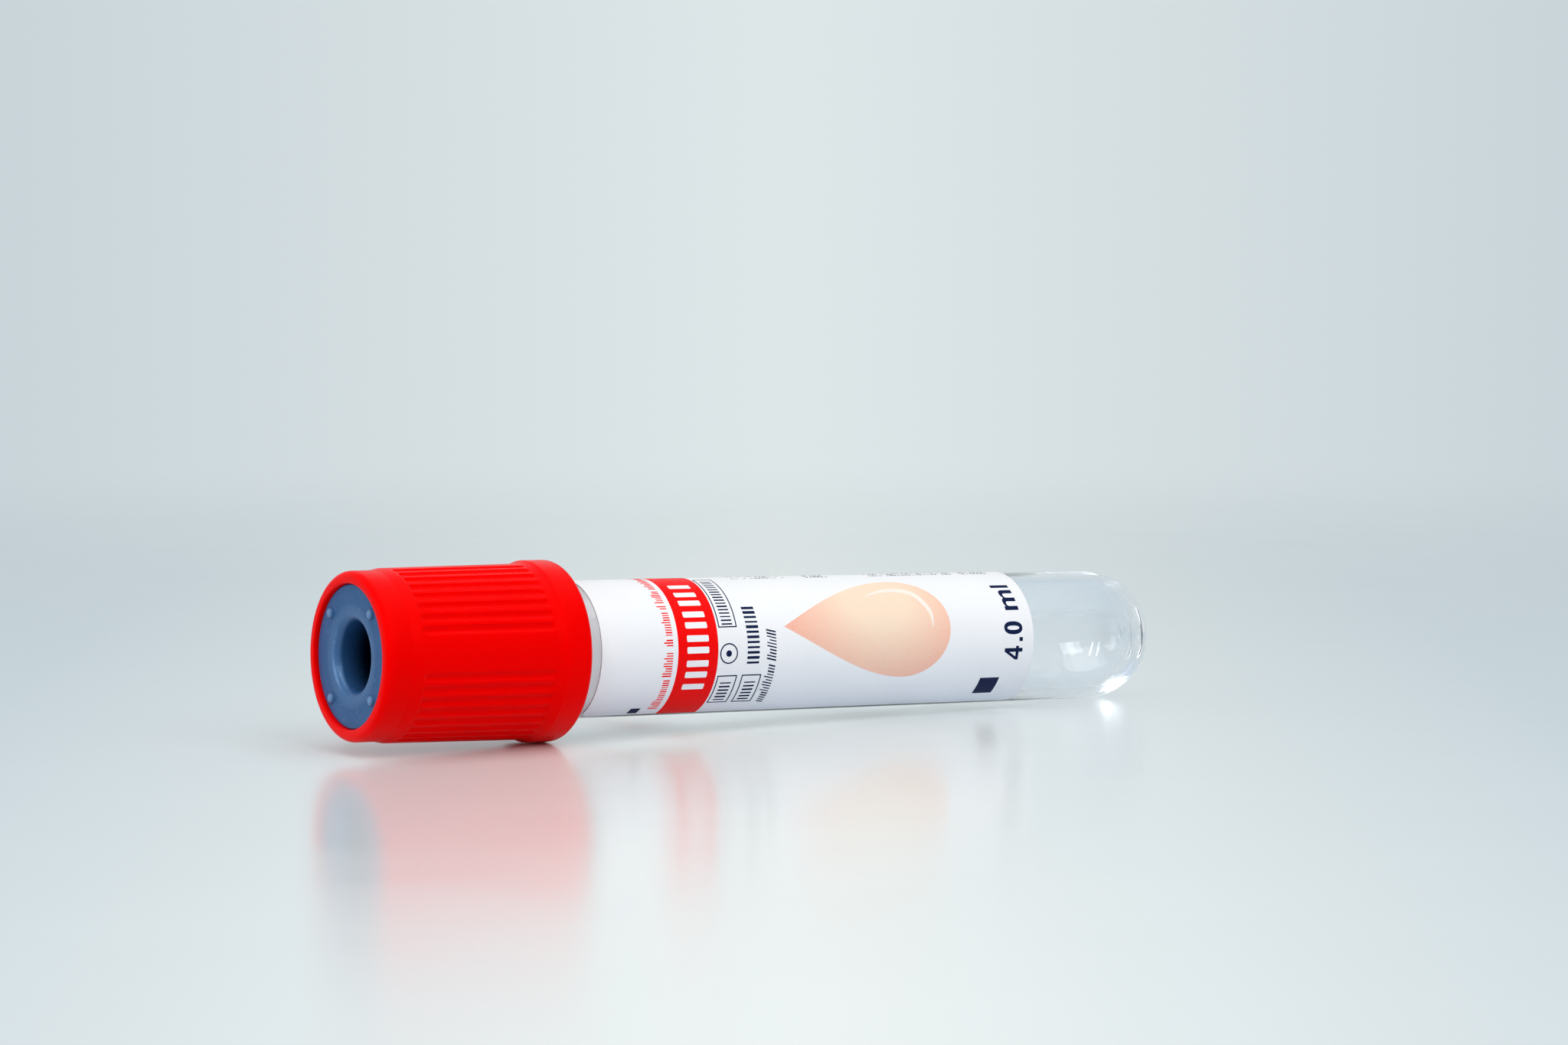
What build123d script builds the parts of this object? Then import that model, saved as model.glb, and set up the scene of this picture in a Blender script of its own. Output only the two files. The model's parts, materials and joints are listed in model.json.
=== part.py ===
from build123d import *
import os
from math import atan2, asin, cos, degrees, hypot, sin, sqrt

# A capped blood collection tube, lying on its side as it comes to rest: the cap's rim and the
# tube's round end both touch the ground at z = 0. +X runs from the cap to the round end, +Z is up,
# and the origin is under the middle of the tube. Sizes are in millimetres. Stations are measured
# along the tube's axis from the cap's front lip, and radii from that axis.

# --- driving dimensions: tube ---
tube_diameter = 12.3
tube_length = 79.4  # open rim to the outside of the round end
tube_wall = 1.0
tube_floor = 1.5  # thickness of the round end on the axis
tube_rim_round = 0.3
gate_land_radius = 1.8  # flat left on the round end around the moulding gate
gate_radius = 0.5
gate_height = 0.25
core_flat_radius = 1.15  # flat inside the round end, left by the mould's core

# --- driving dimensions: stopper ---
head_height = 6.9  # cap's front lip to the tube's rim
head_overhang = 0.6  # how far the head stands out past the tube's outside
plug_length = 8.5
plug_lead_in = 0.8
plug_lead_in_depth = 0.35
face_recess = 0.4  # the stopper's face lies this far inside the lip
face_edge_round = 0.15
well_radius = 3.1  # needle well, straight part
well_mouth_round = 0.85
well_floor_round = 0.8
well_depth = 4.8  # face to floor
hollow_radius = 3.2  # hollow under the plug
membrane = 4.3  # rubber between the well and the hollow
hollow_round = 1.2
pip_count = 4
pip_place = 0.5625  # share of the way from the well's mouth to the face's edge
pip_radius = 0.5
pip_height = 0.35
pip_turn = 48.8  # degrees, first pip, from the right-hand side seen facing the cap

# --- driving dimensions: cap shield ---
cap_length = 20.2
shield_wall = 0.7  # round the stopper's head
lip_thickness = 0.95
lip_overlap = 0.35  # how far the lip reaches in over the stopper's head
lip_round = 0.6
lip_inner_round = 0.15
collar_length = 2.5  # plain stretch behind the lip
collar_ramp = 0.9
band_step = 0.18  # the fluted band stands out this far from the collar
band_taper = 0.18  # radius gained along the band
rim_step = 0.29  # the rim stands out this far from the band's rear
rim_ramp = 0.7
rim_length = 2.6
rim_round = 0.5
mouth_round = 0.3
skirt_wall = 0.8  # at the band's rear
snap_width = 0.35
snap_lead_in = 0.35
snap_reach = 0.35  # how far the snap bead reaches in under the head

# --- driving dimensions: flutes ---
flutes_per_quarter = 8
flute_pitch = 8.4  # degrees
flute_turn = 6.0  # degrees, middle of the plain panel on the right-hand side
flute_cut_radius = 0.5
flute_depth = 0.22
flute_end_margin = 0.1  # plain band left before each ramp

# --- driving dimensions: label ---
label_thickness = 0.1
clear_strip = 5.4  # left between the label's long edges
clear_strip_turn = -91.0  # degrees, middle of the clear strip, seen facing the cap
bare_neck = 1.9  # clear tube between cap and label
bare_end = 10.6  # clear tube between label and round end
label_corner = 1.0

# --- fits ---
running_clearance = 0.05
glue_line = 0.02

# --- radii that follow ---
tube_radius = tube_diameter / 2
bore_radius = tube_radius - tube_wall
plug_radius = bore_radius - running_clearance
head_radius = tube_radius + head_overhang
pocket_radius = head_radius + running_clearance
lip_opening_radius = head_radius - lip_overlap
face_radius = lip_opening_radius - running_clearance
well_mouth_radius = well_radius + well_mouth_round
pip_circle_radius = well_mouth_radius + pip_place * (face_radius - well_mouth_radius)
collar_radius = pocket_radius + shield_wall
band_front_radius = collar_radius + band_step
band_rear_radius = band_front_radius + band_taper
rim_radius = band_rear_radius + rim_step
mouth_radius = band_rear_radius - skirt_wall
snap_radius = head_radius - snap_reach
label_inner_radius = tube_radius + glue_line
label_outer_radius = label_inner_radius + label_thickness

# --- stations that follow ---
tube_rim = head_height
dome_tip = tube_rim + tube_length
dome_centre = dome_tip - tube_radius
land_station = dome_centre + sqrt(tube_radius**2 - gate_land_radius**2)
core_centre = dome_tip - tube_floor - bore_radius
core_flat_station = core_centre + sqrt(bore_radius**2 - core_flat_radius**2)
plug_end = tube_rim + plug_length
well_floor = face_recess + well_depth
hollow_ceiling = well_floor + membrane
shoulder = lip_thickness + running_clearance
snap_station = tube_rim + running_clearance
band_front = collar_length + collar_ramp
rim_front = cap_length - rim_length
band_rear = rim_front - rim_ramp
rim_round_station = cap_length - rim_round
label_start = cap_length + bare_neck
label_end = dome_centre - bare_end

# --- how it lies: the axis dips towards the round end until the rim's rear edge and the round end
# both touch the ground ---
span = dome_centre - rim_round_station
rim_arm = rim_radius - rim_round
drop = rim_round - tube_radius
dip = atan2(rim_arm, span) + asin(drop / hypot(span, rim_arm))
lip_arm = collar_radius - lip_round
front_reach = lip_arm * sin(dip) + lip_round * (1 - cos(dip))
rear_reach = (land_station + gate_height) * cos(dip) + gate_radius * sin(dip)
axis_direction = Vector(cos(dip), 0, -sin(dip))
front_centre = Vector((front_reach - rear_reach) / 2, 0, tube_radius + dome_centre * sin(dip))

tube_axis = Axis(front_centre, axis_direction)
# Profiles are drawn here: x is the station, y the radius.
lengthwise = Plane(front_centre, x_dir=axis_direction, z_dir=(0, -1, 0))


def across(station):
    # The cross-section at a station, as seen facing the cap: x is to the right and y up.
    return Plane(front_centre + axis_direction * station, x_dir=(0, -1, 0), z_dir=-axis_direction)


# --- tube: clear plastic, open at the cap, round at the other end ---
with BuildPart() as tube:
    with BuildSketch(lengthwise):
        with BuildLine():
            Line((tube_rim, bore_radius), (tube_rim, tube_radius))
            Line((tube_rim, tube_radius), (dome_centre, tube_radius))
            land_angle = degrees(asin(gate_land_radius / tube_radius))
            CenterArc((dome_centre, 0), tube_radius, land_angle, 90 - land_angle)
            Polyline(
                (land_station, gate_land_radius),
                (land_station, gate_radius),
                (land_station + gate_height, gate_radius),
                (land_station + gate_height, 0),
                (core_flat_station, 0),
                (core_flat_station, core_flat_radius),
            )
            core_angle = degrees(asin(core_flat_radius / bore_radius))
            CenterArc((core_centre, 0), bore_radius, core_angle, 90 - core_angle)
            Line((core_centre, bore_radius), (tube_rim, bore_radius))
        make_face()
    revolve(axis=tube_axis)
    fillet(tube.edges().group_by(tube_axis)[0], radius=min(tube_rim_round, 0.45 * tube_wall))

# --- stopper: a head that rests on the tube's rim, a hollow plug in the bore, a needle well ---
with BuildPart() as stopper:
    with BuildSketch(lengthwise) as stopper_profile:
        with BuildLine():
            Polyline(
                (face_recess, 0),
                (face_recess, face_radius),
                (shoulder, face_radius),
                (shoulder, head_radius),
                (tube_rim, head_radius),
                (tube_rim, plug_radius),
                (plug_end - plug_lead_in, plug_radius),
                (plug_end, plug_radius - plug_lead_in_depth),
                (plug_end, 0),
                close=True,
            )
        make_face()
        face_edge = stopper_profile.vertices().sort_by_distance((face_recess, face_radius))[0]
        fillet(face_edge, radius=face_edge_round)
    revolve(axis=tube_axis)
    with BuildSketch(lengthwise) as well_profile:
        with BuildLine():
            Polyline((face_recess, 0), (face_recess, well_radius), (well_floor, well_radius))
            Polyline((well_floor, well_radius), (well_floor, 0), (face_recess, 0))
        make_face()
        well_corner = well_profile.vertices().sort_by_distance((well_floor, well_radius))[0]
        fillet(well_corner, radius=min(well_floor_round, 0.9 * well_radius))
    revolve(axis=tube_axis, mode=Mode.SUBTRACT)
    with BuildSketch(lengthwise) as hollow_profile:
        with BuildLine():
            Polyline((hollow_ceiling, 0), (hollow_ceiling, hollow_radius), (plug_end, hollow_radius))
            Polyline((plug_end, hollow_radius), (plug_end, 0), (hollow_ceiling, 0))
        make_face()
        hollow_corner = hollow_profile.vertices().sort_by_distance((hollow_ceiling, hollow_radius))[0]
        fillet(hollow_corner, radius=hollow_round)
    revolve(axis=tube_axis, mode=Mode.SUBTRACT)
    face_edges = stopper.edges().filter_by(GeomType.CIRCLE).group_by(tube_axis)[0]
    fillet(face_edges.sort_by(SortBy.RADIUS)[0], radius=well_mouth_round)
    # pips: four low domes round the needle well
    with BuildSketch(across(face_recess)):
        with PolarLocations(pip_circle_radius, pip_count, start_angle=pip_turn):
            Circle(pip_radius)
    extrude(amount=pip_height)
    pip_edges = stopper.edges().filter_by(GeomType.CIRCLE).group_by(tube_axis)[0]
    fillet(pip_edges, radius=0.9 * pip_height)

# --- cap shield: a lip over the stopper's face, a pocket for its head, a fluted skirt ---
with BuildPart() as flute_cutter:
    flute_length = band_rear - band_front - 2 * flute_end_margin
    Cylinder(flute_cut_radius, flute_length - 2 * flute_cut_radius)
    with Locations((0, 0, flute_length / 2 - flute_cut_radius), (0, 0, flute_cut_radius - flute_length / 2)):
        Sphere(flute_cut_radius)

with BuildPart(across((band_front + band_rear) / 2)) as cap_shield:
    with BuildSketch(lengthwise) as shield_profile:
        with BuildLine():
            Polyline(
                (0, lip_opening_radius),
                (0, collar_radius),
                (collar_length, collar_radius),
                (band_front, band_front_radius),
                (band_rear, band_rear_radius),
                (rim_front, rim_radius),
                (cap_length, rim_radius),
                (cap_length, mouth_radius),
                (snap_station + snap_width + snap_lead_in, pocket_radius),
                (snap_station + snap_width, snap_radius),
                (snap_station, snap_radius),
                (snap_station, pocket_radius),
                (lip_thickness, pocket_radius),
                (lip_thickness, lip_opening_radius),
                close=True,
            )
        make_face()
        for corner, corner_round in (
            ((0, lip_opening_radius), lip_inner_round),
            ((0, collar_radius), lip_round),
            ((cap_length, rim_radius), rim_round),
            ((cap_length, mouth_radius), mouth_round),
        ):
            fillet(shield_profile.vertices().sort_by_distance(corner)[0], radius=corner_round)
    revolve(axis=tube_axis)
    band_slope = degrees(atan2(band_taper, band_rear - band_front))
    cutter_radius = (band_front_radius + band_rear_radius) / 2 + flute_cut_radius - flute_depth
    first_flute = flute_turn + 45 - flute_pitch * (flutes_per_quarter - 1) / 2
    for quarter in range(4):
        with PolarLocations(
            cutter_radius,
            flutes_per_quarter,
            start_angle=first_flute + 90 * quarter,
            angular_range=flute_pitch * flutes_per_quarter,
        ):
            add(flute_cutter.part, rotation=(0, -band_slope, 0), mode=Mode.SUBTRACT)

# --- label: paper glued round the tube, with a clear strip left underneath ---
with BuildPart() as label:
    strip_angle = degrees(clear_strip / label_outer_radius)
    label_angle = 360 - strip_angle
    first_edge = clear_strip_turn + strip_angle / 2
    with BuildSketch(across(label_start)):
        with BuildLine():
            inner_arc = CenterArc((0, 0), label_inner_radius, first_edge, label_angle)
            outer_arc = CenterArc((0, 0), label_outer_radius, first_edge, label_angle)
            Line(inner_arc @ 0, outer_arc @ 0)
            Line(inner_arc @ 1, outer_arc @ 1)
        make_face()
    extrude(amount=label_start - label_end)
    corner_edges = label.edges().filter_by(lambda edge: edge.length < 1.5 * label_thickness)
    fillet(corner_edges, radius=label_corner)

os.makedirs("parts", exist_ok=True)
tube.part.label = "tube"
stopper.part.label = "stopper"
cap_shield.part.label = "cap_shield"
label.part.label = "label"
export_step(tube.part, "parts/tube.step")
export_step(stopper.part, "parts/stopper.step")
export_step(cap_shield.part, "parts/cap_shield.step")
export_step(label.part, "parts/label.step")
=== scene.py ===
import json
from math import acos, cos, degrees, pi, radians, sin, tan

import bmesh
import bpy
from mathutils import Matrix, Vector


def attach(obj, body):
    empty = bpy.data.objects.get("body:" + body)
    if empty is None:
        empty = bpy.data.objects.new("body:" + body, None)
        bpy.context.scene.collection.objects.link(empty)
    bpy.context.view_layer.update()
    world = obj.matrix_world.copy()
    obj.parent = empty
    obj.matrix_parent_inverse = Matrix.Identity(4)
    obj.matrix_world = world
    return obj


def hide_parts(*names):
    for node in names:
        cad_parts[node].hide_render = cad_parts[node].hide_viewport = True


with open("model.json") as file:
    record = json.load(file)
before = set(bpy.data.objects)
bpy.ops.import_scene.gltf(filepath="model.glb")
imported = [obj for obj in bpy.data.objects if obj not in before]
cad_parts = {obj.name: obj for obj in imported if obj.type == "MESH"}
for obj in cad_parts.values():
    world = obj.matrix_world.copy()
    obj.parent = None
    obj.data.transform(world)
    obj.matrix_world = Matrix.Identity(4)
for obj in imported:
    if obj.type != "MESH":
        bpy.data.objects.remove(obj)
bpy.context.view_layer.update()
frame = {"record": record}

# The pieces are drawn in millimetres on the tube's own axis: x is the distance in from the cap's
# front lip, and a turn angle is read facing the cap, from its right-hand side and going up.
mm = 0.001
wellDepth = 2.825  # how far in the needle well's mount sits
needleWell = next(m for m in frame["record"]["mounts"] if m["name"] == "needle_well")
alongTube = -Vector(needleWell["axis"]).normalized()
acrossTube = Vector((0, 1, 0))
capFront = Vector(needleWell["pos_m"]) - alongTube * wellDepth * mm
axes = Matrix((alongTube, acrossTube, alongTube.cross(acrossTube))).transposed().to_4x4()
layDown = Matrix.Translation(capFront) @ axes @ Matrix.Scale(mm, 4)


camera = {
    "lens": 100.0,
    "filmWidth": 36.0,
    "clip": (0.01, 20.0),  # metres
    "place": (-216.867, -337.087, 50.334),  # mm from the point on the ground under the tube
    "turn": -33.043,
    "dip": 4.516,
}


def makeCamera(values):
    data = bpy.data.cameras.new("studioCamera")
    data.lens = values["lens"]
    data.sensor_width = values["filmWidth"]
    data.clip_start, data.clip_end = values["clip"]
    view = bpy.data.objects.new("studioCamera", data)
    view.location = Vector(values["place"]) * mm
    view.rotation_euler = (radians(90 - values["dip"]), 0, radians(values["turn"]))
    bpy.context.scene.collection.objects.link(view)
    bpy.context.scene.camera = view


makeCamera(camera)
bpy.context.scene.view_settings.view_transform = "Standard"
lightPaths = bpy.context.scene.cycles  # light runs a long way inside the tube's clear wall
lightPaths.max_bounces = 40
lightPaths.glossy_bounces = 32
lightPaths.transmission_bounces = 32
lightPaths.blur_glossy = 0
lightPaths.diffuse_bounces = 16  # the white paper keeps light going round inside it
print("camera placed")


def addNode(tree, kind, settings=(), **inputs):
    node = tree.nodes.new(kind)
    for name, value in dict(settings).items():
        setattr(node, name, value)
    for name, value in inputs.items():
        plug(tree, node.inputs[name], value)
    return node


def plug(tree, socket, value):
    if isinstance(value, bpy.types.NodeSocket):
        tree.links.new(value, socket)
    else:
        socket.default_value = value


def calc(tree, operation, *values):
    node = tree.nodes.new("ShaderNodeMath")
    node.operation = operation
    for socket, value in zip(node.inputs, values):
        plug(tree, socket, value)
    return node.outputs[0]


def newMaterial(name, **shader):
    material = bpy.data.materials.new(name)
    material.use_nodes = True
    tree = material.node_tree
    surface = tree.nodes["Principled BSDF"]
    for socket, value in shader.items():
        surface.inputs[socket.replace("_", " ")].default_value = value
    return material, tree, surface


def objectPlace(tree, scale=(1, 1, 1)):
    place = addNode(tree, "ShaderNodeTexCoord")
    return addNode(tree, "ShaderNodeMapping", Vector=place.outputs["Object"], Scale=scale).outputs[0]


def grain(tree, place, scale, detail=3.0, roughness=0.5):
    return addNode(tree, "ShaderNodeTexNoise", Vector=place, Scale=scale, Detail=detail,
                   Roughness=roughness).outputs["Fac"]


def spread(tree, value, low, high, fromLow=0.35, fromHigh=0.65):
    node = addNode(tree, "ShaderNodeMapRange", Value=value)
    for name, number in (("From Min", fromLow), ("From Max", fromHigh), ("To Min", low), ("To Max", high)):
        node.inputs[name].default_value = number
    return node.outputs["Result"]


def blendColours(tree, factor, first, second, how="MIX"):
    node = addNode(tree, "ShaderNodeMix", {"data_type": "RGBA", "blend_type": how})
    plug(tree, node.inputs["Factor"], factor)
    plug(tree, node.inputs[6], first)
    plug(tree, node.inputs[7], second)
    return node.outputs[2]


# a number kept on the mesh's points
def readField(tree, name, output="Fac"):
    return addNode(tree, "ShaderNodeAttribute", {"attribute_name": name}).outputs[output]


def mixShaders(tree, share, first, second):
    mix = addNode(tree, "ShaderNodeMixShader", Fac=share)
    tree.links.new(first.outputs[0], mix.inputs[1])
    tree.links.new(second.outputs[0], mix.inputs[2])
    return mix


# how far to the side of the camera's line of view a place or a direction lies
def offCamera(tree, vector):
    heading = radians(camera["turn"])
    across = addNode(tree, "ShaderNodeVectorMath", {"operation": "DOT_PRODUCT"})
    tree.links.new(vector, across.inputs[0])
    across.inputs[1].default_value = (cos(heading), sin(heading), 0)
    return calc(tree, "ABSOLUTE", across.outputs["Value"])


def addBump(tree, surface, height, strength, distance):
    bump = addNode(tree, "ShaderNodeBump", Height=height, Strength=strength, Distance=distance)
    tree.links.new(bump.outputs["Normal"], surface.inputs["Normal"])


# these kinds of ray pass the piece with a tint, instead of being stopped or bent by it
def letLightThrough(tree, surface, tint, *rays):
    clear = addNode(tree, "ShaderNodeBsdfTransparent", Color=tint)
    path = addNode(tree, "ShaderNodeLightPath")
    shown = surface
    for ray in rays:
        shown = mixShaders(tree, path.outputs[ray], shown, clear)
    tree.links.new(shown.outputs[0], tree.nodes["Material Output"].inputs["Surface"])


def roundCorners(outline, steps=6):
    rounded = []
    for i, corner in enumerate(outline):
        here = Vector(corner[:2])
        size = corner[2] if len(corner) > 2 else 0
        if not size:
            rounded.append(tuple(here))
            continue
        before = (Vector(outline[i - 1][:2]) - here).normalized()
        after = (Vector(outline[(i + 1) % len(outline)][:2]) - here).normalized()
        half = before.angle(after) / 2
        centre = here + (before + after).normalized() * size / sin(half)
        start = here + before * size / tan(half) - centre
        end = here + after * size / tan(half) - centre
        rounded += [tuple(centre + start.slerp(end, k / steps).normalized() * size) for k in range(steps + 1)]
    return rounded


# adds points on the straight run from one corner of an outline to the next
def addStations(outline, first, last, stations):
    at = next(i for i, p in enumerate(outline) if abs(p[0] - first[0]) + abs(p[1] - first[1]) < 1e-4)
    slope = (last[1] - first[1]) / (last[0] - first[0])
    extra = [(s, first[1] + slope * (s - first[0])) for s in stations]
    return outline[:at + 1] + extra + outline[at + 1:]


def arcPoints(centre, size, start, end, steps):
    turns = [radians(start + (end - start) * k / steps) for k in range(steps + 1)]
    return [(centre + size * cos(t), size * sin(t)) for t in turns]


def turnAngles(count):
    return [360 * k / count for k in range(count)]


def inOneTurn(turns):
    return sorted({round(turn % 360, 4) for turn in turns})


def lathe(outline, angles):
    shape = bmesh.new()
    rings = []
    for station, radius in outline:
        around = angles if radius > 1e-5 else [0]
        rings.append([shape.verts.new((station, -radius * cos(radians(a)), radius * sin(radians(a))))
                      for a in around])
    pairs = list(zip(rings, rings[1:]))
    if outline[0][1] > 1e-5:
        pairs.append((rings[-1], rings[0]))
    for near, far in pairs:
        for i in range(len(angles)):
            j = (i + 1) % len(angles)
            corners = [near[i % len(near)], near[j % len(near)], far[j % len(far)], far[i % len(far)]]
            shape.faces.new(list(dict.fromkeys(corners)))
    return shape


def finishMesh(name, shape, material, sharpAbove=40):
    bmesh.ops.remove_doubles(shape, verts=shape.verts, dist=1e-6)
    bmesh.ops.recalc_face_normals(shape, faces=shape.faces)
    mesh = bpy.data.meshes.new(name)
    shape.to_mesh(mesh)
    shape.free()
    mesh.shade_smooth()
    mesh.set_sharp_from_angle(angle=radians(sharpAbove))
    mesh.materials.append(material)
    piece = bpy.data.objects.new(name, mesh)
    bpy.context.scene.collection.objects.link(piece)
    return piece


# runs a Geometry Nodes tree on a piece with these sizes, and keeps the result as a plain mesh
def growWith(piece, tree, values):
    modifier = piece.modifiers.new(tree.name, "NODES")
    modifier.node_group = tree
    for item in tree.interface.items_tree:
        if item.item_type == "SOCKET" and item.in_out == "INPUT" and item.name in values:
            modifier[item.identifier] = values[item.name]
    bpy.context.view_layer.update()
    grown = piece.evaluated_get(bpy.context.evaluated_depsgraph_get())
    result = bpy.data.meshes.new_from_object(grown)
    piece.modifiers.remove(modifier)
    result.name = piece.name
    piece.data = result


# moves a finished piece from millimetres on the tube's axis to its place, and hands it over
def layOnTube(piece, body, slot, *nodes):
    piece.data.transform(layDown)
    piece.data.update()
    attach(piece, body)
    if nodes:
        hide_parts(*nodes)
    print(piece.name + ":", len(piece.data.polygons), "faces")


def newTree(name, sizes):
    tree = bpy.data.node_groups.new(name, "GeometryNodeTree")
    tree.interface.new_socket("Geometry", in_out="INPUT", socket_type="NodeSocketGeometry")
    for size in sizes:
        tree.interface.new_socket(size, in_out="INPUT", socket_type="NodeSocketFloat")
    tree.interface.new_socket("Geometry", in_out="OUTPUT", socket_type="NodeSocketGeometry")
    return tree, tree.nodes.new("NodeGroupInput").outputs


def endTree(tree, geometry, material):
    real = addNode(tree, "GeometryNodeRealizeInstances", Geometry=geometry)
    coloured = addNode(tree, "GeometryNodeSetMaterial", Geometry=real.outputs[0], Material=material)
    end = tree.nodes.new("NodeGroupOutput")
    tree.links.new(coloured.outputs[0], end.inputs[0])


# keeps a number on every point, for the material to read
def noteField(tree, geometry, name, value):
    return addNode(tree, "GeometryNodeStoreNamedAttribute", {"data_type": "FLOAT", "domain": "POINT"},
                   Geometry=geometry, Name=name, Value=value).outputs[0]


# station, radius and turn angle in degrees of each point, with its y and z
def turnFields(tree):
    place = tree.nodes.new("GeometryNodeInputPosition").outputs[0]
    x, y, z = addNode(tree, "ShaderNodeSeparateXYZ", Vector=place).outputs
    squares = calc(tree, "ADD", calc(tree, "MULTIPLY", y, y), calc(tree, "MULTIPLY", z, z))
    radius = calc(tree, "SQRT", squares)
    angle = calc(tree, "DEGREES", calc(tree, "ARCTAN2", z, calc(tree, "MULTIPLY", y, -1.0)))
    return x, y, z, radius, angle


shield = {
    "outline": [  # distance in, radius, corner round
        (0.0, 6.4, 0.15), (0.0, 7.5, 0.6), (2.5, 7.5, 1.2), (3.4, 7.68), (16.9, 7.86), (17.6, 8.15, 0.25),
        (20.2, 8.15, 0.5), (20.2, 7.06, 0.3), (7.65, 6.8), (7.3, 6.4), (6.95, 6.4), (6.95, 6.8),
        (0.95, 6.8), (0.95, 6.4)],
    "bandFront": (3.4, 7.68),
    "bandRear": (16.9, 7.86),
    "panelTurn": 6.0,     # where the smooth panel between two groups of flutes faces
    "groups": 4,
    "flutesInGroup": 8,
    "flutePitch": 8.4,    # degrees
    "fluteCut": 0.5,      # radius of the cutter
    "fluteDepth": 0.22,
    "fluteLength": 13.3,
    "fluteMiddle": 10.15,
    "skinRadius": 7.3,    # only what lies further out than this is grooved
    "grooveSteps": (0, 1.0, 2.0, 2.7, 3.08, 3.5),  # degrees to either side of a flute's middle
    "endSteps": (0.086, 0.15, 0.25, 0.37, 0.5),    # mm in from a flute's ends
    "middleStations": (6.0, 8.0, 10.0, 12.0, 14.0),
    "panelSteps": 12,
}


def fluteTree(material):
    sizes = ["panelTurn", "groupTurn", "groupHalf", "flutePitch", "fluteCut", "fluteDepth",
             "fluteHalf", "fluteMiddle", "skinRadius"]
    tree, size = newTree("shieldFlutes", sizes)
    station, y, z, radius, angle = turnFields(tree)
    turned = calc(tree, "SUBTRACT", angle, size["panelTurn"])
    halfGroup = calc(tree, "MULTIPLY", size["groupTurn"], 0.5)
    inGroup = calc(tree, "SUBTRACT", calc(tree, "WRAP", turned, size["groupTurn"], 0.0), halfGroup)
    grooved = calc(tree, "LESS_THAN", calc(tree, "ABSOLUTE", inGroup), size["groupHalf"])
    step = calc(tree, "FRACT", calc(tree, "DIVIDE", inGroup, size["flutePitch"]))
    offAngle = calc(tree, "MULTIPLY", calc(tree, "SUBTRACT", step, 0.5), size["flutePitch"])
    across = calc(tree, "MULTIPLY", calc(tree, "RADIANS", offAngle), radius)
    offMiddle = calc(tree, "ABSOLUTE", calc(tree, "SUBTRACT", station, size["fluteMiddle"]))
    straightHalf = calc(tree, "SUBTRACT", size["fluteHalf"], size["fluteCut"])
    past = calc(tree, "MAXIMUM", calc(tree, "SUBTRACT", offMiddle, straightHalf), 0.0)
    cutSquared = calc(tree, "MULTIPLY", size["fluteCut"], size["fluteCut"])
    acrossSquared = calc(tree, "MULTIPLY", across, across)
    pastSquared = calc(tree, "MULTIPLY", past, past)
    left = calc(tree, "SUBTRACT", calc(tree, "SUBTRACT", cutSquared, acrossSquared), pastSquared)
    cutterReach = calc(tree, "SQRT", calc(tree, "MAXIMUM", left, 0.0))
    cutterLift = calc(tree, "SUBTRACT", size["fluteCut"], size["fluteDepth"])
    sunk = calc(tree, "SUBTRACT", cutterReach, cutterLift)
    onSkin = calc(tree, "GREATER_THAN", radius, size["skinRadius"])
    depth = calc(tree, "MULTIPLY", calc(tree, "MAXIMUM", sunk, 0.0), calc(tree, "MULTIPLY", grooved, onSkin))
    inward = calc(tree, "DIVIDE", calc(tree, "MULTIPLY", depth, -1.0), radius)
    offset = addNode(tree, "ShaderNodeCombineXYZ", Y=calc(tree, "MULTIPLY", y, inward),
                     Z=calc(tree, "MULTIPLY", z, inward))
    moved = addNode(tree, "GeometryNodeSetPosition", Geometry=size["Geometry"], Offset=offset.outputs[0])
    endTree(tree, moved.outputs[0], material)
    return tree


def redPlastic():
    material, tree, surface = newMaterial(
        "redPlastic", Roughness=0.32, Specular_IOR_Level=0.07, Specular_Tint=(1.0, 0.10, 0.08, 1),
        Subsurface_Weight=0.55, Subsurface_Radius=(1.0, 0.12, 0.08), Subsurface_Scale=0.001)
    place = objectPlace(tree)
    longPlace = objectPlace(tree, (60, 900, 900))
    cloud = grain(tree, place, 90.0, 2.0)
    flow = grain(tree, longPlace, 1.0, 3.0)
    colour = blendColours(tree, spread(tree, cloud, 0.0, 1.0), (0.94, 0.0, 0.0, 1), (0.905, 0.0, 0.0, 1))
    colour = blendColours(tree, spread(tree, flow, 0.0, 0.12), colour, (0.97, 0.002, 0.002, 1))
    tree.links.new(colour, surface.inputs["Base Color"])
    fine = grain(tree, place, 5200.0, 2.0)
    rough = calc(tree, "ADD", spread(tree, flow, 0.28, 0.38), spread(tree, fine, -0.02, 0.03))
    tree.links.new(rough, surface.inputs["Roughness"])
    addBump(tree, surface, calc(tree, "ADD", calc(tree, "MULTIPLY", flow, 0.6), fine), 0.12, 0.00002)
    return material


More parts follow.
